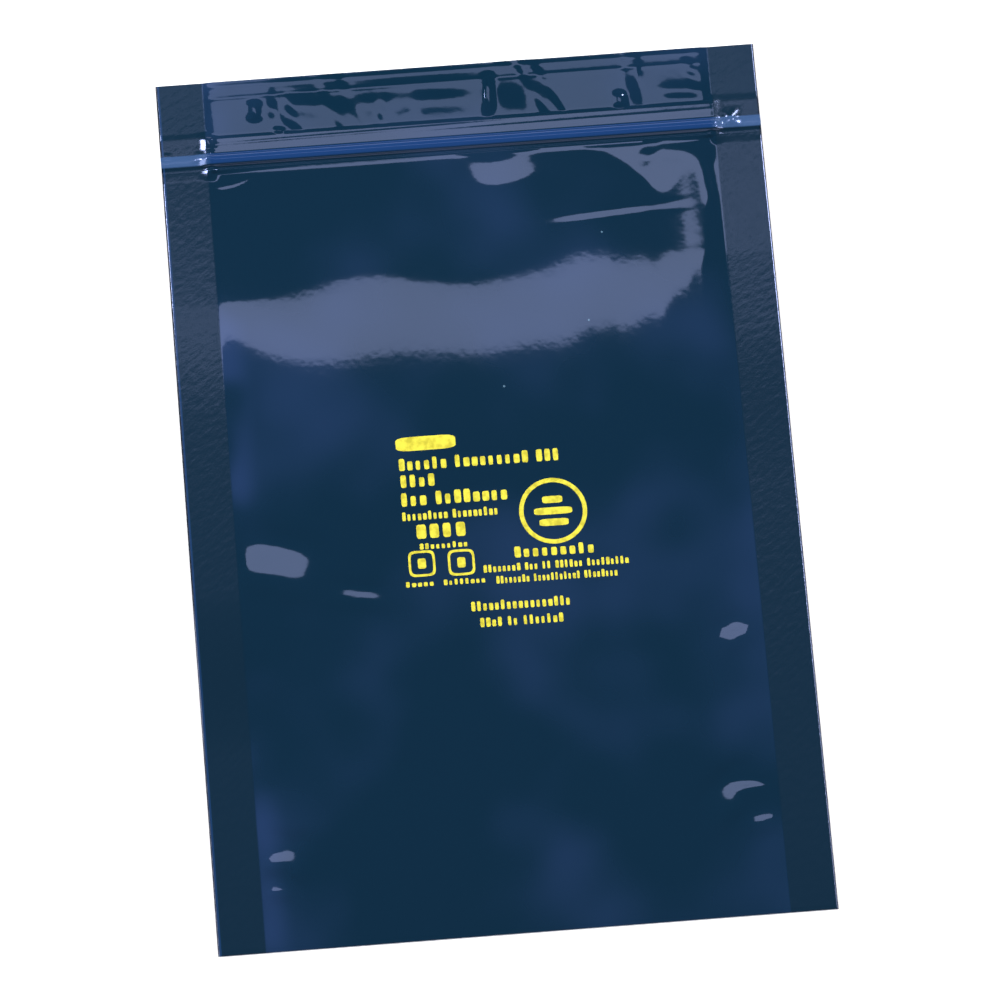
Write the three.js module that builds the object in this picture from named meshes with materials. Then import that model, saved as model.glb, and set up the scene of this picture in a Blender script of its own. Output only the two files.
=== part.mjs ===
// A zip-top static shielding bag, 5 in by 8 in inside, empty and pressed shut, lying on its back.
// Millimetres. X runs across the bag, Y from the bottom fold to the mouth, Z up from the table.
//
// The bag is made of three pieces. One sheet of metallised film is folded across the bottom and
// welded to itself down both sides. Between its walls lie the two strips of the press-to-close zip:
// a rib strip behind the front wall and a groove strip on the back wall. The side welds crush the
// ends of both strips, which run out to the cut edges of the bag.

import * as THREE from "three";

// The size of the bag.
const INSIDE_WIDTH = 127; // 5 in, between the side welds
const INSIDE_LENGTH = 203.2; // 8 in, from the bottom fold to the middle of the zip
const SEAL_WIDTH = 11.9; // each side weld, out to its cut edge
const LIP_HEIGHT = 20.7; // from the middle of the zip to the mouth
const FILM = 0.079; // 3.1 mil laminate
const FOLD_RADIUS = 0.1; // how far the bottom fold is rounded
const FIT = 0.02; // clearance between the film and a zip strip, which are welded face to face

// The zip, seen in section. Heights are above the inner face of the back wall.
const STRIP = 0.18; // thickness of the flange of each strip
const FLANGE_BELOW = 3.0; // from the middle of the zip towards the pocket
const FLANGE_ABOVE = 5.6; // from the middle of the zip towards the mouth
const FLANGE_TIP = 0.5; // height of the rib strip's top at the edges of its flange
const FLANGE_ROOT = 0.06; // how much higher the flange is at its root
const CLOSED_HEIGHT = 1.5; // height of the rib strip's top over the closed zip
const RIB_CROWN = 0.55; // half the width that stays raised over the closed zip
const RIB_FLANK = 1.0; // in which it then falls to the flange
const STEM = 0.34; // thickness of the rib's stem
const HEAD_WIDTH = 1.0; // the arrow head that snaps into the groove
const HEAD_HEIGHT = 0.46;
const HEAD_TIP = 0.32; // height of the point of the arrow head
const JAW_GAP = 0.76; // opening between the two hooks of the groove
const JAW_INSIDE = 1.24; // width of the groove behind the hooks
const JAW_WALL = 0.26;
const HOOK_HEIGHT = 0.2;
const SNAP = 0.05; // play between the head's shoulders and the hooks

// How the side welds crush the zip.
const CRUSHED_SHARE = 0.31; // of the zip's height that is left in a weld
const CRUSH_LENGTH = 3.0; // over which the zip goes from full height to crushed
const TUNNEL_MARGIN = 0.6; // film round the edge of each flange that isn't welded down

// How the slack front wall stands off the back wall, which lies flat on the table.
const VALLEY = 0.3; // the least gap, just below the zip
const CROWN_RISE = 0.3; // how much more the middle of the pocket stands up than its sides
const CROWN_FADE = 60; // in which that starts below the zip
const FOLD_RISE = 30; // distance in which the film rises from the bottom fold
const TOE = 0.7; // and from the edge of the zip's flange
const LIP_RISE = 1.0; // distance in which the lips part beside a weld
const MOUTH_GAP = 0.3; // between the lips at the mouth

// The distance in which the film rises from each side weld, at shares of the inside length.
const LEFT_RISE = [[0, 10], [0.45, 9], [0.65, 4], [1, 3]];
const RIGHT_RISE = [[0, 10], [0.5, 9], [0.75, 6], [1, 5]];

// The front wall falls towards the zip from its start, most steeply from its knee, and it levels
// off at its ease. Each place is a share of the way from the middle to a weld, then a share of the
// inside length.
const FALL_START = [[-1, 0.645], [-0.5, 0.58], [-0.25, 0.595], [0, 0.625], [0.5, 0.67], [0.7, 0.715], [1, 0.8]];
const FALL_KNEE = [[-1, 0.805], [-0.5, 0.86], [0, 0.835], [0.25, 0.86], [0.5, 0.895], [1, 0.835]];
const FALL_EASE = [[-1, 0.975], [0.45, 0.975], [0.6, 0.955], [0.75, 0.91], [1, 0.885]];
const EASE_LENGTH = 2.5;
const STEEPEST_LEAN = 0.06; // radians
const EASED_LEAN = 0.02;

// Slack folds. Across is a share of the way from the middle to a weld. Along is a share of the
// inside length, or of the lip from the zip's flange to the mouth. Length and width are half sizes,
// turn is in degrees from X, and lean is the slope at the middle of the fold, in radians, positive
// where the film falls towards the mouth.
const POCKET_FOLDS = [
  { across: 0.16, along: 0.955, turn: 0, length: 10, width: 4.6, lean: -0.045 },
  { across: 0.57, along: 0.895, turn: 4, length: 16, width: 3, lean: -0.045 },
  { across: 0.88, along: 0.965, turn: -9, length: 14, width: 3.5, lean: -0.06 },
  { across: -0.83, along: 0.48, turn: -16, length: 11, width: 4.5, lean: 0.11 },
  { across: -0.88, along: 0.11, turn: -10, length: 7, width: 4, lean: 0.14 },
  { across: 0.87, along: 0.35, turn: 28, length: 6, width: 4, lean: 0.12 },
  { across: 0.87, along: 0.15, turn: 14, length: 8.5, width: 4, lean: 0.15 },
];
const LIP_FOLDS = [
  { across: -0.64, along: 0.4, turn: 12, length: 4, width: 2.6, lean: 0.1 },
  { across: -0.45, along: 0.45, turn: 20, length: 5, width: 3, lean: 0.1 },
  { across: -0.18, along: 0.5, turn: 0, length: 17, width: 2.4, lean: 0.08 },
  { across: 0.21, along: 0.4, turn: 0, length: 5, width: 4, lean: 0.1 },
  { across: 0.34, along: 0.45, turn: 25, length: 4, width: 4, lean: 0.1 },
  { across: 0.7, along: 0.35, turn: 0, length: 4, width: 4, lean: 0.12 },
];

// Creases that run up the lip, with their heights.
const LIP_CREASES = [
  { across: -0.8, along: 0.45, turn: 85, length: 5, width: 2.2, rise: 0.3 },
  { across: 0.12, along: 0.45, turn: 86, length: 5.5, width: 2.2, rise: 0.45 },
  { across: 0.64, along: 0.3, turn: 84, length: 4.5, width: 2.2, rise: 0.4 },
];

// How finely the film is divided.
const ACROSS_STEP = 3.6;
const ALONG_STEP = 7.5;
const LIP_STEP = 1.5;

const WIDTH = INSIDE_WIDTH + 2 * SEAL_WIDTH;
const LENGTH = INSIDE_LENGTH + LIP_HEIGHT;
const WELD = INSIDE_WIDTH / 2;
const CUT_EDGE = WIDTH / 2;
const RAISED = RIB_CROWN + RIB_FLANK;
const POCKET_BOTTOM = FOLD_RADIUS + 2 * FILM;
const TUNNEL_BOTTOM = INSIDE_LENGTH - FLANGE_BELOW - TUNNEL_MARGIN;
const TUNNEL_TOP = INSIDE_LENGTH + FLANGE_ABOVE + TUNNEL_MARGIN;

const { clamp, lerp, degToRad, smoothstep } = THREE.MathUtils;

// From 0 at a weld or a fold towards 1, as slack film rises.
const rise = (distance, over) => 1 - Math.exp(-Math.max(distance, 0) / over);

// The share of its height that the zip keeps at a distance across the bag.
const crush = (x) => lerp(1, CRUSHED_SHARE, smoothstep(Math.abs(x), WELD, WELD + CRUSH_LENGTH));

// Height of the rib strip's top, at a distance u from the middle of the zip towards the mouth.
function stripTop(u) {
  const reach = u < 0 ? FLANGE_BELOW : FLANGE_ABOVE;
  const flange = FLANGE_TIP + FLANGE_ROOT * (1 - Math.abs(u) / reach);
  return lerp(flange, CLOSED_HEIGHT, smoothstep(RAISED - Math.abs(u), 0, RIB_FLANK));
}

// A line through places [share, value], read at a share of the way.
function lineThrough(places, share) {
  const next = places.findIndex(([place]) => place >= share);
  if (next === 0) return places[0][1];
  const [[from, first], [to, second]] = [places[next - 1], places[next]];
  return lerp(first, second, (share - from) / (to - from));
}

// Height of the front wall above the valley below the zip.
function fallToZip(x, y) {
  const [start, knee, ease] = [FALL_START, FALL_KNEE, FALL_EASE].map((places) => {
    return Math.min(lineThrough(places, x / WELD) * INSIDE_LENGTH, TUNNEL_BOTTOM - EASE_LENGTH);
  });
  const eased = ease + EASE_LENGTH;
  let height = EASED_LEAN * (TUNNEL_BOTTOM - clamp(y, eased, TUNNEL_BOTTOM));
  height += ((eased - clamp(y, ease, eased)) * (STEEPEST_LEAN + EASED_LEAN)) / 2;
  height += STEEPEST_LEAN * (ease - clamp(y, knee, ease));
  const at = clamp(y, start, knee);
  const lean = (STEEPEST_LEAN * (at - start)) / (knee - start);
  return height + ((knee - at) * (lean + STEEPEST_LEAN)) / 2;
}

// How far a place is along and across a fold or crease, in its half sizes.
function inFold(fold, x, y, foldY) {
  const angle = degToRad(fold.turn);
  const dx = x - fold.across * WELD;
  const dy = y - foldY;
  const along = (dx * Math.cos(angle) + dy * Math.sin(angle)) / fold.length;
  const across = (dy * Math.cos(angle) - dx * Math.sin(angle)) / fold.width;
  return { along, across, fade: Math.exp(-(along ** 4) - across * across) };
}

function foldHeight(fold, x, y, foldY) {
  const { across, fade } = inFold(fold, x, y, foldY);
  return -fold.lean * fold.width * across * fade;
}

// Free height between the walls in the pocket, y from the bottom fold.
function pocketGap(x, y) {
  const side = rise(WELD - Math.abs(x), lineThrough(x < 0 ? LEFT_RISE : RIGHT_RISE, y / INSIDE_LENGTH));
  const below = TUNNEL_BOTTOM - y;
  const crown = CROWN_RISE * (1 - (x / WELD) ** 2) * smoothstep(below, 0, CROWN_FADE);
  let gap = (VALLEY + fallToZip(x, y) + crown) * rise(y - POCKET_BOTTOM, FOLD_RISE);
  for (const fold of POCKET_FOLDS) gap += foldHeight(fold, x, y, fold.along * INSIDE_LENGTH);
  gap += (FLANGE_TIP - VALLEY) * Math.exp(-below / TOE);
  return Math.max(gap * side, 0);
}

// Free height between the lips, y from the bottom fold.
function lipGap(x, y) {
  const lip = LENGTH - TUNNEL_TOP;
  let gap = lerp(FLANGE_TIP, MOUTH_GAP, (y - TUNNEL_TOP) / lip);
  for (const fold of LIP_FOLDS) gap += foldHeight(fold, x, y, TUNNEL_TOP + fold.along * lip);
  for (const crease of LIP_CREASES) {
    gap += crease.rise * inFold(crease, x, y, TUNNEL_TOP + crease.along * lip).fade;
  }
  return Math.max(gap, 0) * rise(WELD - Math.abs(x), LIP_RISE);
}

// Free height between the two walls anywhere, which is 0 where they are welded together.
function gapBetweenWalls(x, y) {
  if (y > TUNNEL_BOTTOM && y < TUNNEL_TOP) {
    const u = clamp(y - INSIDE_LENGTH, -FLANGE_BELOW, FLANGE_ABOVE);
    return stripTop(u) * crush(x);
  }
  if (Math.abs(x) >= WELD || y <= POCKET_BOTTOM) return 0;
  return y <= TUNNEL_BOTTOM ? pocketGap(x, y) : lipGap(x, y);
}

// Evenly spaced stations from one value to another, the last left out.
function stations(from, to, step) {
  const count = Math.max(1, Math.round((to - from) / step));
  return Array.from({ length: count }, (_, i) => lerp(from, to, i / count));
}

// Where the columns of the film stand, closer together where a weld crushes the zip.
function columnStations() {
  const right = [
    ...stations(WELD - 9, WELD, 3),
    ...stations(WELD, WELD + CRUSH_LENGTH, CRUSH_LENGTH / 4),
    ...stations(WELD + CRUSH_LENGTH, CUT_EDGE, 3),
    CUT_EDGE,
  ];
  const left = right.map((x) => -x).reverse();
  return [...left, ...stations(9 - WELD, WELD - 9, ACROSS_STEP).slice(1), ...right];
}

// Where the rows of the film stand over the zip, as distances from its middle.
const zipRows = () => [
  ...stations(-FLANGE_BELOW, -RAISED, 0.75),
  ...stations(-RAISED, -RIB_CROWN, RIB_FLANK / 3),
  ...stations(-RIB_CROWN, RIB_CROWN, RIB_CROWN),
  ...stations(RIB_CROWN, RAISED, RIB_FLANK / 3),
  ...stations(RAISED, FLANGE_ABOVE, 1.35),
  FLANGE_ABOVE,
];

function rowStations() {
  return [
    FOLD_RADIUS,
    ...stations(POCKET_BOTTOM, 10, 3.3),
    ...stations(10, TUNNEL_BOTTOM - 8, ALONG_STEP),
    ...stations(TUNNEL_BOTTOM - 8, TUNNEL_BOTTOM, 2.7),
    TUNNEL_BOTTOM,
    ...zipRows().map((u) => INSIDE_LENGTH + u),
    ...stations(TUNNEL_TOP, LENGTH, LIP_STEP),
    LENGTH,
  ];
}

// Points and triangles of one closed body.
class Body {
  points = [];
  triangles = [];

  point(x, y, z) {
    this.points.push(x, y - LENGTH / 2, z);
    return this.points.length / 3 - 1;
  }

  // A four-cornered face, seen anticlockwise from outside, with its diagonal from a to c.
  face(a, b, c, d) {
    this.triangles.push([a, b, c], [a, c, d]);
  }

  // A flat face bounded by a loop of points that runs anticlockwise seen from above.
  flat(loop, facesUp) {
    const plan = loop.map((p) => new THREE.Vector2(this.points[3 * p], this.points[3 * p + 1]));
    for (const [a, b, c] of THREE.ShapeUtils.triangulateShape(plan, [])) {
      const turned = facesUp ? [a, b, c] : [a, c, b];
      this.triangles.push(turned.map((corner) => loop[corner]));
    }
  }

  geometry() {
    const made = new THREE.BufferGeometry();
    made.setAttribute("position", new THREE.Float32BufferAttribute(this.points, 3));
    made.setIndex(this.triangles.filter(([a, b, c]) => a !== b && b !== c && c !== a).flat());
    made.computeVertexNormals();
    return made;
  }
}

// The corners of a region of grid cells, in order round its edge, anticlockwise seen from above.
function outlineOf(columns, rows, inside) {
  const next = new Map();
  const key = (i, j) => i * rows + j;
  const step = (i, j, i2, j2) => next.set(key(i, j), [i2, j2]);
  for (let i = 0; i < columns - 1; i++) {
    for (let j = 0; j < rows - 1; j++) {
      if (!inside(i, j)) continue;
      if (!inside(i, j - 1)) step(i, j, i + 1, j);
      if (!inside(i + 1, j)) step(i + 1, j, i + 1, j + 1);
      if (!inside(i, j + 1)) step(i + 1, j + 1, i, j + 1);
      if (!inside(i - 1, j)) step(i, j + 1, i, j);
    }
  }
  const loop = [];
  const [first] = next.keys();
  for (let at = first; !loop.length || at !== first; ) {
    const [i, j] = next.get(at);
    loop.push([i, j]);
    at = key(i, j);
  }
  return loop;
}

// The folded sheet. Its front wall is a grid of facets. The back wall lies flat on the table.
function filmGeometry() {
  const xs = columnStations();
  const ys = rowStations();
  const columns = xs.length;
  const rows = ys.length;
  const body = new Body();

  const onGrid = (i, j) => i >= 0 && j >= 0 && i < columns - 1 && j < rows - 1;
  const open = (i, j) => {
    if (!onGrid(i, j)) return false;
    const x = (xs[i] + xs[i + 1]) / 2;
    const y = (ys[j] + ys[j + 1]) / 2;
    const inTunnel = y > TUNNEL_BOTTOM && y < TUNNEL_TOP;
    return inTunnel || (Math.abs(x) < WELD && y > POCKET_BOTTOM);
  };

  // Each corner of the grid has a point on the outside of each wall. Where the walls part it also
  // has one on the inside of each, and where they meet one point serves both.
  const corners = xs.map((x, i) =>
    ys.map((y, j) => {
      const cells = [[i, j], [i - 1, j], [i, j - 1], [i - 1, j - 1]].filter((c) => onGrid(...c));
      const parted = cells.every((c) => open(...c));
      const atFold = j === 0;
      const gap = parted ? gapBetweenWalls(x, y) : 0;
      const front = body.point(x, y, 2 * FILM + gap);
      const back = body.point(x, y, 0);
      const backInside = body.point(x, atFold ? 0 : y, FILM);
      const frontInside = parted ? body.point(x, y, FILM + gap) : backInside;
      return { front, frontInside, backInside, back };
    }),
  );

  for (let i = 0; i < columns - 1; i++) {
    for (let j = 0; j < rows - 1; j++) {
      const [a, b, c, d] = [corners[i][j], corners[i + 1][j], corners[i + 1][j + 1], corners[i][j + 1]];
      body.face(a.front, b.front, c.front, d.front);
      if (open(i, j)) {
        body.triangles.push([a.frontInside, c.frontInside, b.frontInside]);
        body.triangles.push([a.frontInside, d.frontInside, c.frontInside]);
      }
    }
  }

  const edge = outlineOf(columns, rows, onGrid).map(([i, j]) => corners[i][j]);
  const cavity = outlineOf(columns, rows, open).map(([i, j]) => corners[i][j]);
  body.flat(edge.map((corner) => corner.back), false);
  body.flat(cavity.map((corner) => corner.backInside), true);
  edge.forEach((a, n) => {
    const b = edge[(n + 1) % edge.length];
    body.face(a.frontInside, b.frontInside, b.front, a.front);
    body.face(a.back, b.back, b.backInside, a.backInside);
  });
  return body.geometry();
}

// A zip strip: one outline [u, height] in section, anticlockwise seen from the right-hand end with
// u to the right, carried across the bag and crushed with everything else in the side welds.
function stripGeometry(outline) {
  const body = new Body();
  const crushing = stations(WELD, WELD + CRUSH_LENGTH, CRUSH_LENGTH / 4);
  const right = [...crushing, WELD + CRUSH_LENGTH, CUT_EDGE];
  const xs = [...right.map((x) => -x).reverse(), ...right];
  const rings = xs.map((x) =>
    outline.map(([u, height]) => body.point(x, INSIDE_LENGTH + u, FILM + height * crush(x))),
  );
  for (let i = 0; i < rings.length - 1; i++) {
    outline.forEach(([u], n) => {
      const m = (n + 1) % outline.length;
      const [a, b, c, d] = [rings[i][n], rings[i][m], rings[i + 1][m], rings[i + 1][n]];
      // The diagonals climb towards the mouth, as the film's do.
      if (u < outline[m][0]) body.face(a, b, c, d);
      else body.face(b, c, d, a);
    });
  }
  const plan = outline.map(([u, height]) => new THREE.Vector2(u, height));
  for (const [a, b, c] of THREE.ShapeUtils.triangulateShape(plan, [])) {
    body.triangles.push([rings.at(-1)[a], rings.at(-1)[b], rings.at(-1)[c]]);
    body.triangles.push([rings[0][a], rings[0][c], rings[0][b]]);
  }
  return body.geometry();
}

// The places along a flange where its top bends, from one edge to the other.
function flangeStations() {
  const inset = 0.06;
  return zipRows().map((u) => clamp(u, -FLANGE_BELOW + inset, FLANGE_ABOVE - inset));
}

// The rib strip: a flange that droops from the closed zip to its edges, and a stem with an arrow
// head on its underside.
function ribOutline() {
  const top = flangeStations().map((u) => [u, stripTop(u) - FIT]);
  const underside = (u) => stripTop(u) - FIT - STRIP;
  const below = top.map(([u]) => u).filter((u) => u < -STEM / 2 - 0.05);
  const above = top.map(([u]) => u).filter((u) => u > STEM / 2 + 0.05);
  const shoulder = HEAD_TIP + HEAD_HEIGHT;
  const right = [
    [STEM / 2, underside(STEM / 2)],
    [STEM / 2, shoulder],
    [HEAD_WIDTH / 2, shoulder - 0.06],
    [HEAD_WIDTH / 2, shoulder - 0.16],
    [HEAD_WIDTH / 5, HEAD_TIP],
  ];
  const left = right.map(([u, height]) => [-u, height]);
  return [
    ...below.map((u) => [u, underside(u)]),
    ...left,
    ...right.reverse(),
    ...above.map((u) => [u, underside(u)]),
    ...top.reverse(),
  ];
}

// The groove strip: a flat flange with two hooked jaws that hold the arrow head.
function grooveOutline() {
  const inset = 0.06;
  const floor = FIT + STRIP;
  const hook = HEAD_TIP + HEAD_HEIGHT + SNAP;
  const inner = JAW_INSIDE / 2;
  const right = [
    [inner, floor],
    [inner, hook],
    [JAW_GAP / 2, hook],
    [inner, hook + HOOK_HEIGHT],
    [inner + JAW_WALL * 0.7, hook + HOOK_HEIGHT],
    [inner + JAW_WALL, hook],
    [inner + JAW_WALL, floor],
    [FLANGE_ABOVE - inset, floor],
    [FLANGE_ABOVE - inset, FIT],
  ];
  const left = [
    ...right.slice(0, 7).map(([u, height]) => [-u, height]),
    [-FLANGE_BELOW + inset, floor],
    [-FLANGE_BELOW + inset, FIT],
  ];
  return [...right.reverse(), ...left];
}

const film = new THREE.MeshStandardMaterial({ color: 0x132f4a, roughness: 0.16, metalness: 0.35 });
const zipPlastic = new THREE.MeshStandardMaterial({ color: 0x5f7ca8, roughness: 0.4, metalness: 0 });

function named(name, geometry, material) {
  const mesh = new THREE.Mesh(geometry, material);
  mesh.name = name;
  return mesh;
}

const bag = new THREE.Group();
bag.add(named("film_pouch", filmGeometry(), film));
bag.add(named("zip_rib_strip", stripGeometry(ribOutline()), zipPlastic));
bag.add(named("zip_groove_strip", stripGeometry(grooveOutline()), zipPlastic));

export default bag;
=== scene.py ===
"""Looks of a zip-top static shielding bag that lies empty on a table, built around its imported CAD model.

Places on the bag are in millimetres: x from the middle of the bag, y from the bottom fold, z from the
table. Blender's own units are metres, and MM turns the one into the other.
"""

import math

import bpy
import numpy as np
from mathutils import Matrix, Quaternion, Vector


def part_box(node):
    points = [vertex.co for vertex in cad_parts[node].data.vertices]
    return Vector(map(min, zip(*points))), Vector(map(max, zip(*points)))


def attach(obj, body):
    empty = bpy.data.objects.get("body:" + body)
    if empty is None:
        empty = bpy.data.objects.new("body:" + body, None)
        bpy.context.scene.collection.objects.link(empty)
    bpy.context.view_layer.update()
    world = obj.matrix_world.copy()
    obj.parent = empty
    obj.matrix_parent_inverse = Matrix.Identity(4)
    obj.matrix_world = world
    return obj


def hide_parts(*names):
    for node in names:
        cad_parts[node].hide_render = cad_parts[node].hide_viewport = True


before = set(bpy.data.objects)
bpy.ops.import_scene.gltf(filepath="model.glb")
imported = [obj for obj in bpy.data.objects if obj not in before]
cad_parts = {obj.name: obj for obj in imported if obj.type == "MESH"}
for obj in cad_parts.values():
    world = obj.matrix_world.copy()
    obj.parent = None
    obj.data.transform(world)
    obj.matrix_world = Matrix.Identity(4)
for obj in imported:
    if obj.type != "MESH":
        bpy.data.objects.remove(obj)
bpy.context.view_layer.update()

MM = 0.001

# Sizes that the CAD gives
film_low, film_high = (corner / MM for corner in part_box("film_pouch"))
CUT_EDGE = film_high.x
LENGTH = film_high.y - film_low.y

# The bag
INSIDE_WIDTH = 127.0
INSIDE_LENGTH = 203.2
FILM = 0.079
FLANGE_BELOW = 3.0
FLANGE_ABOVE = 5.6
TUNNEL_MARGIN = 0.6
WELD = INSIDE_WIDTH / 2
TUNNEL_BOTTOM = INSIDE_LENGTH - FLANGE_BELOW - TUNNEL_MARGIN
TUNNEL_TOP = INSIDE_LENGTH + FLANGE_ABOVE + TUNNEL_MARGIN

# How the film lies over the closed zip: heights at places from the middle of the zip to the mouth
ZIP_SECTION = [
    (-3.0, 0.50), (-2.88, 0.555), (-2.52, 0.547), (-2.36, 0.50), (-2.0, 0.60), (-1.3, 1.52), (-1.0, 1.60),
    (0.55, 1.51), (1.0, 1.19), (1.5, 0.62), (1.8, 0.56), (2.2, 0.553), (3.5, 0.533), (4.8, 0.513),
    (5.6, 0.50),
]
FLANGE_TIP = 0.5
CRUSHED_SHARE = 0.31
CRUSH_LENGTH = 3.0
CRUSHED_RUN = 2.4
LIP_STEP_DOWN = 0.07

# How the slack film stands off the back wall
VALLEY = 0.46
FOLD_REACH = 140.0
FOLD_RADIUS = 0.25
TOE = 0.6
FOLD_RIM = 1.0
RISE_POWER = 1.35
LIP_RIM = 1.0
MOUTH_GAP = 0.3

# How far in from each side weld the film takes to rise, at places along the bag
LEFT_RISE = [(0, 14), (90, 12), (120, 10), (150, 6), (203, 5)]
RIGHT_RISE = [(0, 14), (100, 11), (145, 4), (203, 3.5)]

# The welds stand off the table too, by a share of what the film beside them does
LEFT_LIFT = dict(start=50, full=90, share=1.0)
RIGHT_LIFT = dict(start=110, full=150, share=0.75)
LIFT_LEFT_AT_CUT = 0.95

# The front wall falls towards the zip. At each place across the bag it starts to fall, falls most
# steeply from the knee, and eases off just below the zip.
FALL_STARTS = [
    (-64, 133), (-54, 128), (-44, 123.5), (-33, 115), (-18, 113.5), (-5, 121), (8, 126.5), (25, 132),
    (42, 145), (51.5, 157), (55, 163.5), (60, 168),
]
FALL_KNEES = [
    (-64, 164.2), (-45, 166.6), (-33, 169.3), (-23, 169.3), (-12, 166.7), (-3, 165.5), (6, 166.4),
    (18, 169.1), (25, 172), (33, 172), (50, 170.5), (63, 171),
]
FALL_EASES = [
    (-64, 200), (0, 200), (28, 200), (34, 197.5), (40, 193.5), (44, 190), (47.5, 185.5), (50, 185),
    (52, 187), (54, 190), (56, 194), (58, 197), (63, 199),
]
KNEE_LEANS = [
    (-64, 0.059), (-48, 0.056), (-32, 0.052), (0, 0.05), (16, 0.047), (32, 0.043), (50, 0.04), (60, 0.036),
]
KNEE_LENGTH = 1.0
EASE_LENGTH = 2.5
STEEPEST_LEANS = [
    (-64, 0.076), (-50, 0.07), (-32, 0.062), (0, 0.06), (16, 0.056), (32, 0.05), (44, 0.0475), (48, 0.049),
    (50, 0.0475), (52, 0.042), (54, 0.036), (58, 0.028), (63, 0.026),
]
EASED_LEAN = 0.012
EASE_MARGIN = 0.01

# Slack folds. lean is the slope, in radians, at the middle of the fold, positive where the film
# falls towards the mouth; turn is in degrees from x, and length and width are half sizes.
POCKET_FOLDS = [
    dict(x=10.0, y=194.4, turn=8, length=9, width=5.6, bow=1.8, lean=-0.044),
    dict(x=36, y=181.4, turn=4, length=16, width=1.5, lean=-0.036),
    dict(x=-57.3, y=196.0, turn=14, length=5, width=0.9, bow=0.8, lean=-0.055),
    dict(x=-54.0, y=97.0, turn=-16, length=11, width=8.0, bow=-1.2, lean=0.098),
    dict(x=-34, y=87.0, turn=-10, length=8, width=3.2, lean=0.100),
    dict(x=-58.4, y=23.6, turn=-8, length=6.5, width=5.4, lean=0.150),
    dict(x=-60.0, y=16.4, turn=0, length=3.6, width=3.4, lean=0.190),
    dict(x=56.3, y=71.5, turn=28, length=4.4, width=4.2, lean=0.112),
    dict(x=54.8, y=32.2, turn=16, length=10, width=5.6, bow=-3.4, lean=0.142),
    dict(x=59, y=25.4, turn=10, length=4.8, width=4.6, lean=0.148),
]
DARK_FOLDS = [
    dict(x=46.5, y=197.2, turn=-35, length=1.8, width=3.0, lean=0.035),
    dict(x=57, y=198.2, turn=-7, length=10, width=3.4, lean=0.035),
    dict(x=61.4, y=188.5, turn=-84, length=6, width=1.6, lean=0.15),
]
LIP_FOLDS = [
    dict(x=-42.2, y=211.4, turn=20, length=1.5, width=5.0, lean=-0.042),
    dict(x=-46.8, y=217.1, turn=0, length=1.0, width=2.6, lean=-0.05),
    dict(x=-39.5, y=217.6, turn=-8, length=6.5, width=3.2, lean=-0.04),
    dict(x=-29.2, y=214.8, turn=20, length=2.8, width=6.5, lean=-0.04),
    dict(x=-11.5, y=216.6, turn=-1, length=17, width=3.6, lean=-0.04),
    dict(x=-19.8, y=211.7, turn=0, length=1.1, width=3.0, lean=-0.045),
    dict(x=-14, y=212.4, turn=8, length=3.4, width=3.2, lean=-0.04),
    dict(x=13.3, y=214.8, turn=0, length=4.3, width=9.0, lean=-0.042),
    dict(x=20.8, y=216, turn=25, length=2.2, width=9.0, lean=-0.042),
    dict(x=44.3, y=214, turn=0, length=2.0, width=10.0, lean=-0.045),
    dict(x=59.1, y=217.0, turn=20, length=1.2, width=2.8, lean=-0.045),
    dict(x=56.3, y=211.4, turn=-3, length=5.6, width=2.2, lean=-0.042),
]
LIP_CREASES = [
    dict(x=0, y=222.6, turn=0, length=90, width=0.5, rise=0.016),
    dict(x=0, y=219.6, turn=0.2, length=90, width=0.45, rise=0.018),
    dict(x=7.8, y=215.4, turn=86, length=4.6, width=1.2, rise=0.50),
    dict(x=40.7, y=211.4, turn=84, length=1.9, width=0.9, rise=0.38),
    dict(x=-51.1, y=215.5, turn=88, length=2.2, width=1.1, rise=0.42),
    dict(x=-45.3, y=209.7, turn=80, length=0.7, width=0.7, rise=0.29),
]

# Creases where the side welds pinch the ends of the zip
PINCHES = [
    dict(x=-63.2, y=207.9, turn=95, length=1.5, width=1.1, rise=0.47),
    dict(x=-63.5, y=204.8, turn=80, length=1.7, width=1.0, rise=0.43),
    dict(x=-65.9, y=204.2, turn=65, length=1.4, width=0.8, rise=0.35),
    dict(x=-63.0, y=200.0, turn=60, length=1.5, width=1.1, rise=0.50),
    dict(x=68.1, y=204.3, turn=58, length=2.8, width=0.9, rise=0.42),
    dict(x=68.1, y=204.3, turn=125, length=2.8, width=0.9, rise=0.42),
    dict(x=63.3, y=201.2, turn=28, length=1.6, width=0.65, rise=0.35),
    dict(x=-73.6, y=204.9, turn=90, length=0.9, width=0.6, rise=0.25),
    dict(x=-30, y=207.6, turn=0.6, length=38, width=0.4, rise=0.012),
    dict(x=25, y=206.9, turn=0.5, length=40, width=0.4, rise=0.010),
]

# How finely the film is divided
COLUMN_STEP = 0.65
POCKET_STEP = 1.0
TOE_STEP = 0.4
FINE_REACH = 22.0
ZIP_STEP = 0.2
LIP_STEP = 0.35
# The back takes one in so many of the front's rows, and the fold has its rows at these shares of its turn
BACK_STRIDE = 9
FOLD_BENDS = (0.85, 0.5, 0.15)

# How a fold's height dies away across it
FLAT_FLANKS = 4
SOFT_FLANKS = 2

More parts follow.
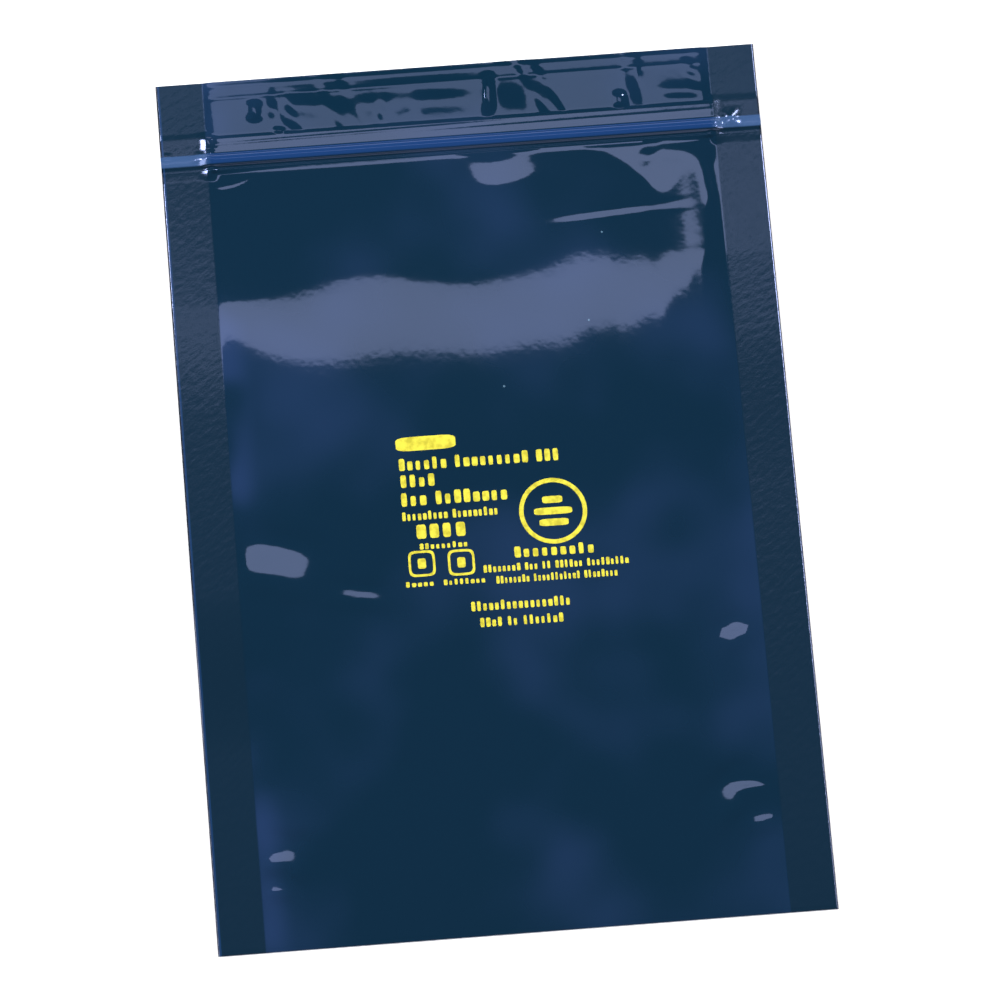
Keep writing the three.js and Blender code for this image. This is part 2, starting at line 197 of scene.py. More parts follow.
# The print, one row of rounded blocks for each line: where it starts and ends, the middle of its
# height, its height, and how many blocks each of its words has.
PRINT_ROWS = [
    dict(left=-22.7, right=-7.9, y=124.4, height=3.6, words=(1,)),
    dict(left=-22.3, right=17.9, y=119.2, height=3.1, words=(6, 9, 3)),
    dict(left=-22.2, right=-13.1, y=114.9, height=3.2, words=(4,)),
    dict(left=-22.4, right=4.5, y=110.2, height=3.4, words=(3, 8)),
    dict(left=-22.5, right=1.5, y=105.9, height=2.2, words=(9, 9)),
    dict(left=-19.3, right=-6.3, y=101.8, height=3.6, words=(4,)),
    dict(left=-18.8, right=-6.6, y=98.0, height=1.5, words=(9,)),
    dict(left=-22.9, right=-15.6, y=88.6, height=1.4, words=(5,)),
    dict(left=-13.6, right=-3.0, y=88.5, height=1.4, words=(8,)),
    dict(left=4.3, right=24.7, y=94.9, height=2.8, words=(9,)),
    dict(left=-3.6, right=32.5, y=91.2, height=1.9, words=(8, 3, 2, 6, 9)),
    dict(left=-0.7, right=29.5, y=88.2, height=1.9, words=(8, 11, 8)),
    dict(left=-7.4, right=17.4, y=81.9, height=2.4, words=(17,)),
    dict(left=-5.5, right=15.3, y=77.7, height=2.3, words=(4, 2, 7)),
]
PRINT_BARS = [
    dict(x=14.7, y=107.7, width=5.0, height=1.8),
    dict(x=14.7, y=104.8, width=9.4, height=1.8),
    dict(x=14.7, y=101.9, width=7.2, height=1.8),
    dict(x=-18.6, y=93.7, width=2.0, height=2.6),
    dict(x=-8.9, y=93.3, width=2.0, height=2.6),
]
PRINT_OUTLINES = [
    dict(x=14.7, y=104.8, radius=8.4, stroke=1.1, squareness=2),
    dict(x=-18.6, y=93.7, radius=3.3, stroke=0.6, squareness=5),
    dict(x=-8.9, y=93.3, radius=3.3, stroke=0.6, squareness=5),
]
WORD_SPACE = 0.7
SMALL_BLOCK = 0.74
BLOCK_CORNER = 0.22
TALL_SHARE = 0.25
BLOCK_WIDTHS = (0.5, 0.74)
SHUFFLE_SEED = 5
INK_THICKNESS = 0.02
OUTLINE_POINTS = 72
DROP_FROM = 20.0
DROP_REACH = 100.0

# Colours, linear
FILM_BLUE = (0.0018, 0.0158, 0.0355, 1)
FILM_BLUE_PALE = (0.0075, 0.0245, 0.0660, 1)
# Painted sheen beside the left weld, standing in for a slope that catches the light
PAINTED_SHEEN_BLUE = (0.0160, 0.0380, 0.1150, 1)
WELD_BLUE = (0.0018, 0.0145, 0.0310, 1)
SPECK_BLUE = (0.0800, 0.1500, 0.2200, 1)
# Painted highlight, paler along the left cut edge only
PAINTED_EDGE_HIGHLIGHT_BLUE = (0.0060, 0.0300, 0.0900, 1)
# Painted shade, darker at both cut edges
PAINTED_CUT_SHADE_BLUE = (0.0010, 0.0050, 0.0120, 1)
FILM_TINT = (0.50, 0.585, 1.0, 1)
LIP_TINT = (0.30, 0.37, 0.64, 1)
ZIP_BLUE = (0.0070, 0.0340, 0.1250, 1)
CRUSHED_BLUE = (0.0330, 0.0750, 0.1800, 1)
INK_YELLOW = (0.62, 0.56, 0.034, 1)
INK_YELLOW_DEEP = (0.42, 0.37, 0.012, 1)
STRIP_BLUE = (0.30, 0.42, 0.60, 1)
STRIP_BLUE_PALE = (0.38, 0.50, 0.68, 1)
PAPER_WHITE = (0.85, 0.85, 0.85, 1)
WALL_WHITE = (1, 1, 1, 1)
CEILING_GREY = (0.08, 0.08, 0.08, 1)

# Where a colour or finish starts and is full, in millimetres from the middle of the zip for the
# stripe, and from the weld or the cut edge inwards for the others
STRIPE_LOW = (-1.5, -1.0)
STRIPE_HIGH = (1.9, 1.5)
CRUSHED_FADE = (1.0, -1.5)
PAINTED_SHEEN_FADE = (8.0, 1.0)
PAINTED_EDGE_HIGHLIGHT_FADE = (1.0, 0.7)
PAINTED_CUT_SHADE_FADE = (0.5, 0.3)
DULL_FADE = (0.3, 0.1)

# Finish. Scales are per metre, and lengths, widths and depths are in millimetres.
FILM_ROUGHNESS = 0.045
WELD_ROUGHNESS = 0.2
FILM_IOR = 1.8
SPECULAR_LEVEL = 0.5
CLOUD_SCALE = 20.0
CLOUD_SHARES = (0.42, 0.72)
PAINTED_SHEEN_SHARES = (0.5, 0.6)
PAINTED_SHEEN_STRENGTH = 0.5
WELD_BLEND = 0.6
LIP_BLEND = 1.0
KNURL_ANGLE = math.radians(42)
KNURL_LENGTH = 2.6
KNURL_WIDTH = 1.3
KNURL_DEPTH = 0.06
SPECK_SCALE = 180.0
SPECK_SIZE = 0.05
SPECK_SHARE = 0.93
RIPPLE_SCALE = 500.0
RIPPLE_DEPTH = 0.004
INK_PATCH_SCALE = 600.0
INK_PATCH_SHARES = (0.3, 0.6)
INK_ROUGHNESS = 0.45
STRIP_CLOUD_SCALE = 900.0
STRIP_ROUGHNESS = 0.4

# The camera
CAMERA_LENS = 237.6
CAMERA_TURN = -8.0
CAMERA_ELEVATION = 73.66
CAMERA_DISTANCE = 1.6292
CAMERA_ROLL = 3.41
CAMERA_AIM = Vector((0.002, -0.0025, 0))
CAMERA_CLIP = 0.05

# The lamps, in metres and watts, each facing its aim. The strip light makes the band across the bag,
# the soft lights fill from the sides, and the small lamps make the sparkles at the ends of the zip.
LAMPS = [
    dict(name="strip light", place=(-0.070, 0.604, 1.3), aim=(-0.070, 0.604, 0), size=(0.795, 0.098),
         watts=0.51, turn=-11.3),
    dict(name="left soft light", place=(-1.7, 0.0, 1.0), aim=(0, 0, 0), size=(1.2, 1.2), watts=31),
    dict(name="right soft light", place=(1.7, -0.2, 1.0), aim=(0, 0, 0), size=(1.2, 1.2), watts=31),
    dict(name="left lamp", place=(-0.9, 0.6, 1.1), aim=(0, 0, 0), size=(0.34, 0.34), watts=16),
    dict(name="right lamp", place=(0.8, 0.9, 1.1), aim=(0, 0, 0), size=(0.34, 0.34), watts=16),
]

# The floor, and where the pale walls give way to the dark ceiling
FLOOR_HALF = 6.0
FLOOR_DROP = 0.0002
FLOOR_GLOW = 0.2
FLOOR_ROUGHNESS = 0.9
CEILING_FROM, CEILING_FULL = 0.10, 0.24


def smooth(t):
    """0 to 1 with a level start and end."""
    t = np.clip(t, 0, 1)
    return t * t * (3 - 2 * t)


def rise(distance, over):
    """From 0 at a weld or a fold towards 1, as slack film rises."""
    return 1 - np.exp(-((np.maximum(distance, 0) / over) ** RISE_POWER))


def line_through(places, x):
    """A smooth line through places (x, y), read at x."""
    known_x, known_y = np.array(places, float).T
    slope = np.gradient(known_y, known_x)
    x = np.clip(x, known_x[0], known_x[-1])
    i = np.clip(np.searchsorted(known_x, x, side="right") - 1, 0, len(known_x) - 2)
    span = known_x[i + 1] - known_x[i]
    t = (x - known_x[i]) / span
    start = (2 * t**3 - 3 * t**2 + 1) * known_y[i] + (t**3 - 2 * t**2 + t) * span * slope[i]
    end = (3 * t**2 - 2 * t**3) * known_y[i + 1] + (t**3 - t**2) * span * slope[i + 1]
    return start + end


def in_fold(fold, x, y):
    """How far a place is along and across a fold, in its half sizes."""
    angle = math.radians(fold["turn"])
    dx, dy = x - fold["x"], y - fold["y"]
    along = (dx * math.cos(angle) + dy * math.sin(angle)) / fold["length"]
    across = dy * math.cos(angle) - dx * math.sin(angle) - fold.get("bow", 0) * along**2
    return along, across / fold["width"]


def fold_height(fold, x, y, power):
    """Height of a fold, falling on one side of its middle line and rising on the other."""
    along, across = in_fold(fold, x, y)
    return -fold["lean"] * fold["width"] * across * np.exp(-(along**4) - across**power)


def crease_height(crease, x, y):
    """Height of a crease, which stands up along its middle line."""
    along, across = in_fold(crease, x, y)
    return crease["rise"] * np.exp(-(along**4) - across**2)


def ramp(y, low, high, first, last):
    """Height that is left above the end of a stretch whose slope goes from first to last."""
    at = np.clip(y, low, high)
    slope = first + (last - first) * (at - low) / (high - low)
    return (high - at) * (slope + last) / 2


def fall_to_zip(x, y):
    """Height of the front wall above the valley below the zip."""
    x = np.clip(x, -WELD, WELD)
    start = line_through(FALL_STARTS, x)
    knee = line_through(FALL_KNEES, x)
    ease = np.minimum(line_through(FALL_EASES, x), TUNNEL_BOTTOM - EASE_MARGIN)
    eased = np.minimum(ease + EASE_LENGTH, TUNNEL_BOTTOM)
    knee_lean = line_through(KNEE_LEANS, x)
    steepest = line_through(STEEPEST_LEANS, x)
    height = EASED_LEAN * (TUNNEL_BOTTOM - np.clip(y, eased, TUNNEL_BOTTOM))
    height += ramp(y, ease, eased, steepest, EASED_LEAN)
    height += steepest * (ease - np.clip(y, knee + KNEE_LENGTH, ease))
    height += ramp(y, knee, knee + KNEE_LENGTH, knee_lean, steepest)
    return height + ramp(y, start, knee, 0, knee_lean)


def crush(x):
    """The share of its height that the zip keeps, which is less in the side welds."""
    return 1 - (1 - CRUSHED_SHARE) * smooth((np.abs(x) - WELD) / CRUSH_LENGTH)


def edge_lift(x, y):
    """How far both walls stand off the table."""
    lifts = []
    for side, lift, rises in ((-1, LEFT_LIFT, LEFT_RISE), (1, RIGHT_LIFT, RIGHT_RISE)):
        share = lift["share"] * smooth((y - lift["start"]) / (lift["full"] - lift["start"]))
        inside = WELD - side * x
        to_cut = np.clip(inside / (WELD - CUT_EDGE), 0, 1)
        kept = (1 - rise(inside, line_through(rises, y))) * (1 - (1 - LIFT_LEFT_AT_CUT) * to_cut)
        lifts.append(share * fall_to_zip(side * WELD, y) * kept)
    return sum(lifts)


def gap(x, y):
    """Free height between the walls, which is 0 where they are welded together."""
    inside = WELD - np.abs(x)
    held = rise(inside, np.where(x < 0, line_through(LEFT_RISE, y), line_through(RIGHT_RISE, y)))
    held_lip = rise(inside, LIP_RIM)

    pocket = VALLEY + fall_to_zip(x, y)
    pocket *= 1 - np.clip(1 - (y - FOLD_RADIUS) / FOLD_REACH, 0, 1) ** 2
    pocket += (FLANGE_TIP - VALLEY) * np.exp(-np.maximum(TUNNEL_BOTTOM - y, 0) / TOE)
    folds = sum(fold_height(fold, x, y, FLAT_FLANKS) for fold in POCKET_FOLDS)
    folds += sum(fold_height(fold, x, y, SOFT_FLANKS) for fold in DARK_FOLDS)
    folds *= rise(inside, FOLD_RIM)

    share = np.clip((y - TUNNEL_TOP) / (LENGTH - TUNNEL_TOP), 0, 1)
    lip = FLANGE_TIP - LIP_STEP_DOWN + (MOUTH_GAP - FLANGE_TIP + LIP_STEP_DOWN) * share
    lip += sum(fold_height(fold, x, y, SOFT_FLANKS) for fold in LIP_FOLDS)
    lip += sum(crease_height(crease, x, y) for crease in LIP_CREASES)

    over_zip = line_through(ZIP_SECTION, y - INSIDE_LENGTH) * crush(x)
    run = np.where(inside > 0, TUNNEL_MARGIN, CRUSHED_RUN)
    flange_low, flange_high = INSIDE_LENGTH - FLANGE_BELOW, INSIDE_LENGTH + FLANGE_ABOVE
    below = np.where(inside > 0, pocket * held + folds, 0)
    above = np.where(inside > 0, lip * held_lip, 0)
    free = np.where(y > INSIDE_LENGTH, above, below)
    on_zip = smooth(1 - np.maximum(flange_low - y, y - flange_high) / run)
    pinches = sum(crease_height(pinch, x, y) for pinch in PINCHES)
    return np.maximum(free + (over_zip - free) * on_zip, 0) + pinches


def steps(start, end, step):
    """Evenly spaced places from start to just before end."""
    return np.linspace(start, end, max(1, round((end - start) / step)), endpoint=False)


def columns():
    """Places across the bag, from the left cut edge to the right one."""
    weld = steps(WELD, CUT_EDGE, COLUMN_STEP)
    right = np.concatenate([weld, [CUT_EDGE]])
    return np.concatenate([-right[::-1], steps(-WELD, WELD, COLUMN_STEP)[1:], right])


def rows():
    """Places along the front wall, from the bottom fold to the mouth."""
    return np.concatenate([
        steps(FOLD_RADIUS, TUNNEL_BOTTOM - FINE_REACH, POCKET_STEP),
        steps(TUNNEL_BOTTOM - FINE_REACH, TUNNEL_BOTTOM, TOE_STEP),
        steps(TUNNEL_BOTTOM, TUNNEL_TOP, ZIP_STEP),
        steps(TUNNEL_TOP, LENGTH, LIP_STEP),
        [LENGTH],
    ])


def mesh_object(name, points, faces, material):
    """A smooth object from points in millimetres, y from the bottom fold."""
    points = np.array(points, float) - (0, LENGTH / 2, 0)
    mesh = bpy.data.meshes.new(name)
    mesh.from_pydata((points * MM).tolist(), [], faces)
    mesh.validate()
    mesh.shade_smooth()
    if material:
        mesh.materials.append(material)
    made = bpy.data.objects.new(name, mesh)
    bpy.context.scene.collection.objects.link(made)
    return made


def make_film(material):
    """The folded sheet: from the front of the mouth down to the fold and up the back."""
    across, front = columns(), rows()
    always = (TUNNEL_BOTTOM, TUNNEL_TOP, LENGTH)
    kept = [j for j, y in enumerate(front) if j % BACK_STRIDE == 0 or y in always]
    back = front[kept]
    x, y = np.meshgrid(across, front)
    lift = edge_lift(x, y)
    front_z = 2 * FILM + lift + gap(x, y)
    sheet = [np.stack([x, y, front_z], -1)[::-1]]
    for share in FOLD_BENDS:
        turn_y = np.full_like(across, FOLD_RADIUS * (1 - math.sin(math.pi * share)))
        turn_z = np.full_like(across, 2 * FILM * share)
        sheet.append(np.stack([across, turn_y, turn_z], -1)[None])
    x, y = np.meshgrid(across, back)
    sheet.append(np.stack([x, y, edge_lift(x, y)], -1))
    points = np.concatenate(sheet)
    total, width = points.shape[:2]
    at = np.arange(total * width).reshape(total, width)
    faces = np.stack([at[:-1, :-1], at[1:, :-1], at[1:, 1:], at[:-1, 1:]], -1).reshape(-1, 4).tolist()
    wall_faces = len(faces)

    # The welds close the sides, but for the tunnel that the zip runs out through
    for side, column in ((-1, 0), (1, width - 1)):
        front_edge = at[: len(front), column][::-1].tolist()
        back_edge = at[len(front) + len(FOLD_BENDS) :, column].tolist()
        fold_edge = at[len(front) : len(front) + len(FOLD_BENDS), column].tolist()
        closing = [front_edge[0], *fold_edge, back_edge[0]]
        faces.append(closing if side < 0 else closing[::-1])
        for n in range(len(kept) - 1):
            if TUNNEL_BOTTOM <= back[n] < TUNNEL_TOP:
                continue
            upper = front_edge[kept[n] : kept[n + 1] + 1]
            loop = [*upper, back_edge[n + 1], back_edge[n]]
            faces.append(loop if side > 0 else loop[::-1])
    film = mesh_object("film", points.reshape(-1, 3), faces, material)
    for face in film.data.polygons[wall_faces:]:
        face.use_smooth = False
    return film


def print_blocks():
    """Middle, width and height of every block of the print."""
    shuffle = np.random.default_rng(SHUFFLE_SEED)
    blocks = [(bar["x"], bar["y"], bar["width"], bar["height"]) for bar in PRINT_BARS]
    for row in PRINT_ROWS:
        letters = sum(row["words"]) + WORD_SPACE * (len(row["words"]) - 1)
        pitch = (row["right"] - row["left"]) / letters
        x = row["left"]
        for word in row["words"]:
            for n in range(word):
                tall = n == 0 or shuffle.random() < TALL_SHARE
                height = row["height"] * (1 if tall else SMALL_BLOCK)
                width = pitch * (1 if word == 1 else shuffle.uniform(*BLOCK_WIDTHS))
                blocks.append((x + width / 2, row["y"] + (height - row["height"]) / 2, width, height))
                x += pitch
            x += pitch * WORD_SPACE
    return blocks


def outline_loop(outline, inset):
    """A circle, or a rounder or squarer outline."""
    turn = np.linspace(0, 2 * math.pi, OUTLINE_POINTS, endpoint=False)
    power = 2 / outline["squareness"]
    reach = outline["radius"] - inset
    x = outline["x"] + reach * np.sign(np.cos(turn)) * np.abs(np.cos(turn)) ** power
    y = outline["y"] + reach * np.sign(np.sin(turn)) * np.abs(np.sin(turn)) ** power
    return np.stack([x, y, np.zeros_like(x)], -1)


def print_tree():
    """Puts a rounded block on each point and lays all of the print on the film."""
    tree = bpy.data.node_groups.new("print_on_film", "GeometryNodeTree")
    for name, kind in (
        ("Shapes", "NodeSocketGeometry"),
        ("Film", "NodeSocketObject"),
        ("Corner", "NodeSocketFloat"),
        ("Thickness", "NodeSocketFloat"),
        ("Ink", "NodeSocketMaterial"),
    ):
        tree.interface.new_socket(name, in_out="INPUT", socket_type=kind)
    tree.interface.new_socket("Print", in_out="OUTPUT", socket_type="NodeSocketGeometry")
    given = node(tree, "NodeGroupInput").outputs

    size = node(tree, "GeometryNodeInputNamedAttribute", {"Name": "block_size"}, data_type="FLOAT_VECTOR")
    size = size.outputs["Attribute"]
    width = node(tree, "ShaderNodeSeparateXYZ", {0: size}).outputs["X"]
    is_block = node(tree, "ShaderNodeMath", {0: width, 1: 0.0}, operation="GREATER_THAN").outputs[0]
    split = node(
        tree,
        "GeometryNodeSeparateGeometry",
        {"Geometry": given["Shapes"], "Selection": is_block},
        domain="POINT",
    )
    square = node(tree, "GeometryNodeCurvePrimitiveQuadrilateral", {"Width": 1.0, "Height": 1.0})
    rounded = node(
        tree,
        "GeometryNodeFilletCurve",
        {"Curve": square.outputs[0], "Count": 3, "Radius": given["Corner"], "Limit Radius": True},
        mode="POLY",
    )
    tile = node(tree, "GeometryNodeFillCurve", {"Curve": rounded.outputs[0]}, mode="TRIANGLES")
    tile = node(tree, "GeometryNodeSubdivideMesh", {"Mesh": tile.outputs[0], "Level": 2})
    blocks = node(
        tree,
        "GeometryNodeInstanceOnPoints",
        {"Points": split.outputs["Selection"], "Instance": tile.outputs[0], "Scale": size},
    )
    blocks = node(tree, "GeometryNodeRealizeInstances", {"Geometry": blocks.outputs[0]})
    shapes = node(tree, "GeometryNodeJoinGeometry", {0: blocks.outputs[0]})
    tree.links.new(split.outputs["Inverted"], shapes.inputs[0])

    film = node(tree, "GeometryNodeObjectInfo", {"Object": given["Film"]}).outputs["Geometry"]
    place = node(tree, "GeometryNodeInputPosition").outputs[0]
    drop = {0: place, 1: (0, 0, DROP_FROM * MM)}
    above = node(tree, "ShaderNodeVectorMath", drop, operation="ADD").outputs[0]
    hit = node(
        tree,
        "GeometryNodeRaycast",
        {
            "Target Geometry": film,
            "Source Position": above,
            "Ray Direction": (0, 0, -1),
            "Ray Length": DROP_REACH * MM,
        },
    )
    lift = node(tree, "ShaderNodeCombineXYZ", {"Z": given["Thickness"]}).outputs[0]
    resting = node(
        tree,
        "ShaderNodeVectorMath",
        {0: hit.outputs["Hit Position"], 1: lift},
        operation="ADD",
    ).outputs[0]
    laid = node(tree, "GeometryNodeSetPosition", {"Geometry": shapes.outputs[0], "Position": resting})
    inked = node(tree, "GeometryNodeSetMaterial", {"Geometry": laid.outputs[0], "Material": given["Ink"]})
    node(tree, "NodeGroupOutput", {"Print": inked.outputs[0]})
    return tree


def make_print(film, ink):
    """The print, as thin flat shapes that follow the film."""
    points, faces, sizes = [], [], []
    for outline in PRINT_OUTLINES:
        start = len(points)
        points.extend(outline_loop(outline, 0))
        points.extend(outline_loop(outline, outline["stroke"]))
        for n in range(OUTLINE_POINTS):
            m = (n + 1) % OUTLINE_POINTS
            faces.append((start + n, start + m, start + m + OUTLINE_POINTS, start + n + OUTLINE_POINTS))
    # A point of size 0 belongs to an outline, and the others each become a block
    sizes.extend([(0, 0, 0)] * len(points))
    for x, y, width, height in print_blocks():
        points.append((x, y, 0))
        sizes.append((width * MM, height * MM, 1))
    shapes = mesh_object("print_shapes", points, faces, None)
    shapes.data.attributes.new("block_size", "FLOAT_VECTOR", "POINT")
    shapes.data.attributes["block_size"].data.foreach_set("vector", np.array(sizes).ravel())

    tree = print_tree()
    modifier = shapes.modifiers.new("print", "NODES")
    modifier.node_group = tree
    values = {"Film": film, "Corner": BLOCK_CORNER, "Thickness": INK_THICKNESS * MM, "Ink": ink}
    for item in tree.interface.items_tree:
        if item.name in values:
            modifier[item.identifier] = values[item.name]
    evaluated = shapes.evaluated_get(bpy.context.evaluated_depsgraph_get())
    mesh = bpy.data.meshes.new_from_object(evaluated)
    mesh.name = "print"
    bpy.data.objects.remove(shapes)
    made = bpy.data.objects.new("print", mesh)
    bpy.context.scene.collection.objects.link(made)
    return made


def node(tree, kind, inputs=None, **settings):
    """A node with its settings, and its inputs set or linked by name or number."""
    made = tree.nodes.new(kind)
    for name, value in settings.items():
        setattr(made, name, value)
    for name, value in (inputs or {}).items():
        socket = made.inputs[name]
        if isinstance(value, bpy.types.NodeSocket):
            tree.links.new(value, socket)
        else:
            socket.default_value = value
    return made


def math_node(tree, operation, *values):
    return node(tree, "ShaderNodeMath", dict(enumerate(values)), operation=operation).outputs[0]


def map_range(tree, value, low, high, to_low=0.0, to_high=1.0):
    """A smooth step from one value to another."""
    inputs = {"Value": value, "From Min": low, "From Max": high, "To Min": to_low, "To Max": to_high}
    return node(tree, "ShaderNodeMapRange", inputs, interpolation_type="SMOOTHSTEP").outputs["Result"]


def mix_colour(tree, share, first, second):
    made = node(tree, "ShaderNodeMix", data_type="RGBA")
    for socket, value in (
        (made.inputs[0], share),
        (made.inputs[6], first),
        (made.inputs[7], second),
    ):
        if isinstance(value, bpy.types.NodeSocket):
            tree.links.new(value, socket)
        else:
            socket.default_value = value
    return made.outputs[2]


def new_material(name):
    material = bpy.data.materials.new(name)
    material.use_nodes = True
    tree = material.node_tree
    return material, tree, tree.nodes["Principled BSDF"]


def film_material():
    """Metallised film: nearly black blue, with a clear tinted gloss."""
    material, tree, shader = new_material("shielding_film")
    place = node(tree, "ShaderNodeTexCoord").outputs["Object"]
    split = node(tree, "ShaderNodeSeparateXYZ", {0: place})
    across = math_node(tree, "DIVIDE", split.outputs["X"], MM)
    along = math_node(tree, "DIVIDE", math_node(tree, "ADD", split.outputs["Y"], LENGTH / 2 * MM), MM)
    off_middle = math_node(tree, "ABSOLUTE", across)

    # The zip shows through the film, and more so where the welds crush it
    stripe_low = map_range(tree, along, *(INSIDE_LENGTH + at for at in STRIPE_LOW))
    stripe_high = map_range(tree, along, *(INSIDE_LENGTH + at for at in STRIPE_HIGH))
    stripe = math_node(tree, "MULTIPLY", stripe_low, stripe_high)
    crushed = map_range(tree, off_middle, *(WELD - at for at in CRUSHED_FADE))

    clouds = node(tree, "ShaderNodeTexNoise", {"Vector": place, "Scale": CLOUD_SCALE, "Detail": 2.0})
    cloud = clouds.outputs["Fac"]
    blue = mix_colour(tree, map_range(tree, cloud, *CLOUD_SHARES), FILM_BLUE, FILM_BLUE_PALE)

    # A paler painted sheen inside the left weld, where a slope catches the light, then the welds, a
    # painted highlight along the left cut edge and painted shade at both cut edges
    painted_sheen = map_range(tree, across, *(at - WELD for at in PAINTED_SHEEN_FADE))
    painted_sheen = math_node(tree, "MULTIPLY", painted_sheen, map_range(tree, cloud, *PAINTED_SHEEN_SHARES))
    blue = mix_colour(tree, math_node(tree, "MULTIPLY", painted_sheen, PAINTED_SHEEN_STRENGTH), blue, PAINTED_SHEEN_BLUE)
    in_weld = map_range(tree, off_middle, WELD, WELD + WELD_BLEND)
    blue = mix_colour(tree, in_weld, blue, WELD_BLUE)
    # Painted highlight: paler blue along the left cut edge only
    painted_edge_highlight = map_range(tree, across, *(at - CUT_EDGE for at in PAINTED_EDGE_HIGHLIGHT_FADE))
    blue = mix_colour(tree, painted_edge_highlight, blue, PAINTED_EDGE_HIGHLIGHT_BLUE)
    # Painted shade: darker in the outermost strip at both cut edges
    painted_cut_shade = map_range(tree, off_middle, *(CUT_EDGE - at for at in PAINTED_CUT_SHADE_FADE))
    blue = mix_colour(tree, painted_cut_shade, blue, PAINTED_CUT_SHADE_BLUE)
    zip_colour = mix_colour(tree, crushed, ZIP_BLUE, CRUSHED_BLUE)
    blue = mix_colour(tree, stripe, blue, zip_colour)

    # Specks of dust
    dots = node(tree, "ShaderNodeTexVoronoi", {"Vector": place, "Scale": SPECK_SCALE})
    picked = node(tree, "ShaderNodeSeparateXYZ", {0: dots.outputs["Color"]}).outputs["X"]
    speck = math_node(tree, "LESS_THAN", dots.outputs["Distance"], SPECK_SIZE)
    speck = math_node(tree, "MULTIPLY", speck, math_node(tree, "GREATER_THAN", picked, SPECK_SHARE))
    blue = mix_colour(tree, speck, blue, SPECK_BLUE)
    tree.links.new(blue, shader.inputs["Base Color"])

    # The welds are knurled by the sealing bar
    stroke = (KNURL_LENGTH * MM, KNURL_WIDTH * MM, 1)
    turned = node(
        tree,
        "ShaderNodeMapping",
        {"Vector": place, "Rotation": (0, 0, KNURL_ANGLE), "Scale": stroke},
        vector_type="TEXTURE",
    )
    knurl = node(tree, "ShaderNodeTexNoise", {"Vector": turned.outputs[0], "Scale": 1.0, "Detail": 2.0})
    knurl_height = math_node(tree, "MULTIPLY", knurl.outputs["Fac"], in_weld)
    ripples = node(tree, "ShaderNodeTexNoise", {"Vector": place, "Scale": RIPPLE_SCALE, "Detail": 1.0})
    bump = node(tree, "ShaderNodeBump", {"Height": ripples.outputs["Fac"], "Distance": RIPPLE_DEPTH * MM})
    bump = node(
        tree,
        "ShaderNodeBump",
        {"Height": knurl_height, "Distance": KNURL_DEPTH * MM, "Normal": bump.outputs["Normal"]},
    )
    tree.links.new(bump.outputs["Normal"], shader.inputs["Normal"])

    # The lip is a little less glossy, and the cut edges not at all
    roughness = map_range(tree, off_middle, WELD, WELD + WELD_BLEND, FILM_ROUGHNESS, WELD_ROUGHNESS)
    tree.links.new(roughness, shader.inputs["Roughness"])
    shader.inputs["IOR"].default_value = FILM_IOR
    on_lip = map_range(tree, along, TUNNEL_TOP - LIP_BLEND, TUNNEL_TOP + LIP_BLEND)
    tree.links.new(mix_colour(tree, on_lip, FILM_TINT, LIP_TINT), shader.inputs["Specular Tint"])
    dull_from, dull_full = (CUT_EDGE - at for at in DULL_FADE)
    gloss = map_range(tree, off_middle, dull_from, dull_full, SPECULAR_LEVEL, 0.0)
    tree.links.new(gloss, shader.inputs["Specular IOR Level"])
    return material


def ink_material():
    """Matt yellow ink, a little thinner in places."""
    material, tree, shader = new_material("print_ink")
    place = node(tree, "ShaderNodeTexCoord").outputs["Object"]
    patches = node(tree, "ShaderNodeTexNoise", {"Vector": place, "Scale": INK_PATCH_SCALE, "Detail": 2.0})
    patch = map_range(tree, patches.outputs["Fac"], *INK_PATCH_SHARES)
    colour = mix_colour(tree, patch, INK_YELLOW_DEEP, INK_YELLOW)
    tree.links.new(colour, shader.inputs["Base Color"])
    shader.inputs["Roughness"].default_value = INK_ROUGHNESS
    return material


def zip_material():
    """Milky plastic, bluish through the film."""
    material, tree, shader = new_material("zip_plastic")
    place = node(tree, "ShaderNodeTexCoord").outputs["Object"]
    noise = node(tree, "ShaderNodeTexNoise", {"Vector": place, "Scale": STRIP_CLOUD_SCALE, "Detail": 2.0})
    colour = mix_colour(tree, noise.outputs["Fac"], STRIP_BLUE, STRIP_BLUE_PALE)
    tree.links.new(colour, shader.inputs["Base Color"])
    shader.inputs["Roughness"].default_value = STRIP_ROUGHNESS
    return material


def area_light(name, place, aim, size, watts, turn=0.0):
    """A flat lamp that faces its aim, turned about the way it faces."""
    lamp = bpy.data.lights.new(name, "AREA")
    lamp.shape = "RECTANGLE"
    lamp.size, lamp.size_y = size
    lamp.energy = watts
    made = bpy.data.objects.new(name, lamp)
    made.location = place
    facing = (Vector(aim) - Vector(place)).to_track_quat("-Z", "Y")
    made.rotation_mode = "QUATERNION"
    made.rotation_quaternion = facing @ Quaternion((0, 0, 1), math.radians(turn))
    made.visible_camera = False
    bpy.context.scene.collection.objects.link(made)


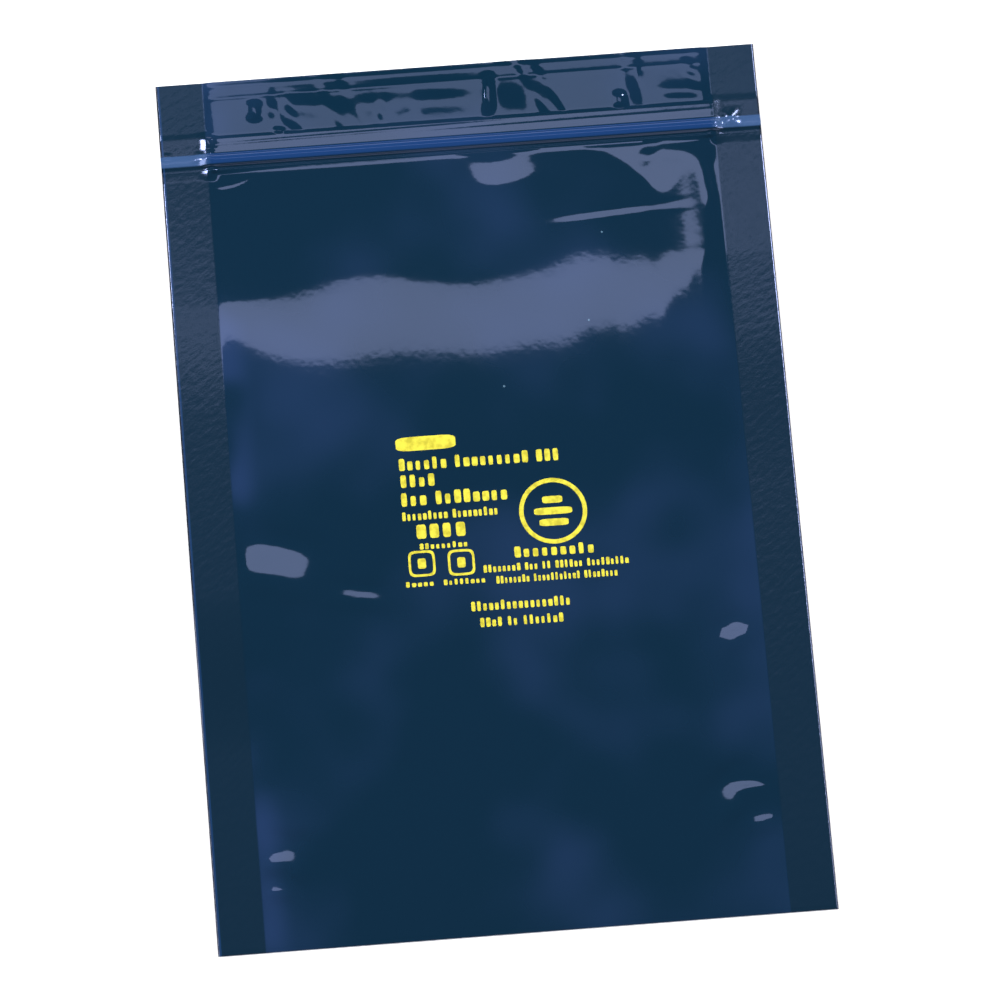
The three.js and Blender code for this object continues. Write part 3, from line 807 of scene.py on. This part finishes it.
def make_camera():
    """The camera, which looks at the bag from above its bottom fold."""
    turn, elevation = math.radians(CAMERA_TURN), math.radians(CAMERA_ELEVATION)
    back = Vector((
        math.sin(turn) * math.cos(elevation),
        -math.cos(turn) * math.cos(elevation),
        math.sin(elevation),
    ))
    data = bpy.data.cameras.new("camera")
    data.lens = CAMERA_LENS
    data.clip_start = CAMERA_CLIP
    camera = bpy.data.objects.new("camera", data)
    camera.location = CAMERA_AIM + back * CAMERA_DISTANCE
    camera.rotation_mode = "QUATERNION"
    facing = (-back).to_track_quat("-Z", "Y")
    camera.rotation_quaternion = facing @ Quaternion((0, 0, 1), math.radians(CAMERA_ROLL))
    bpy.context.scene.collection.objects.link(camera)
    bpy.context.scene.camera = camera


def make_floor():
    """White paper that still takes the bag's shadow."""
    half = FLOOR_HALF
    mesh = bpy.data.meshes.new("floor")
    corners = [(-half, -half, 0), (half, -half, 0), (half, half, 0), (-half, half, 0)]
    mesh.from_pydata(corners, [], [(0, 1, 2, 3)])
    floor = bpy.data.objects.new("floor", mesh)
    floor.location.z = -FLOOR_DROP
    bpy.context.scene.collection.objects.link(floor)
    material, tree, shader = new_material("floor_paper")
    shader.inputs["Base Color"].default_value = PAPER_WHITE
    shader.inputs["Roughness"].default_value = FLOOR_ROUGHNESS
    path = node(tree, "ShaderNodeLightPath")
    seen = math_node(tree, "MAXIMUM", path.outputs["Is Camera Ray"], path.outputs["Is Transmission Ray"])
    seen = math_node(tree, "MAXIMUM", seen, path.outputs["Is Glossy Ray"])
    tree.links.new(math_node(tree, "MULTIPLY", seen, FLOOR_GLOW), shader.inputs["Emission Strength"])
    shader.inputs["Emission Color"].default_value = WALL_WHITE
    mesh.materials.append(material)


def make_world():
    """A dark ceiling over pale walls."""
    world = bpy.data.worlds.new("studio")
    bpy.context.scene.world = world
    world.use_nodes = True
    tree = world.node_tree
    direction = node(tree, "ShaderNodeTexCoord").outputs["Generated"]
    height = node(tree, "ShaderNodeSeparateXYZ", {0: direction}).outputs["Z"]
    share = map_range(tree, height, CEILING_FROM, CEILING_FULL)
    colour = mix_colour(tree, share, WALL_WHITE, CEILING_GREY)
    tree.links.new(colour, tree.nodes["Background"].inputs["Color"])


make_camera()
film = make_film(film_material())
ink_print = make_print(film, ink_material())
plastic = zip_material()
for name in ("zip_rib_strip", "zip_groove_strip"):
    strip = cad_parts[name]
    strip.data.materials.clear()
    strip.data.materials.append(plastic)

for lamp in LAMPS:
    area_light(**lamp)
make_floor()
make_world()
bpy.context.scene.view_settings.view_transform = "Standard"

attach(film, "root")
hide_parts("film_pouch")
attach(ink_print, "root")
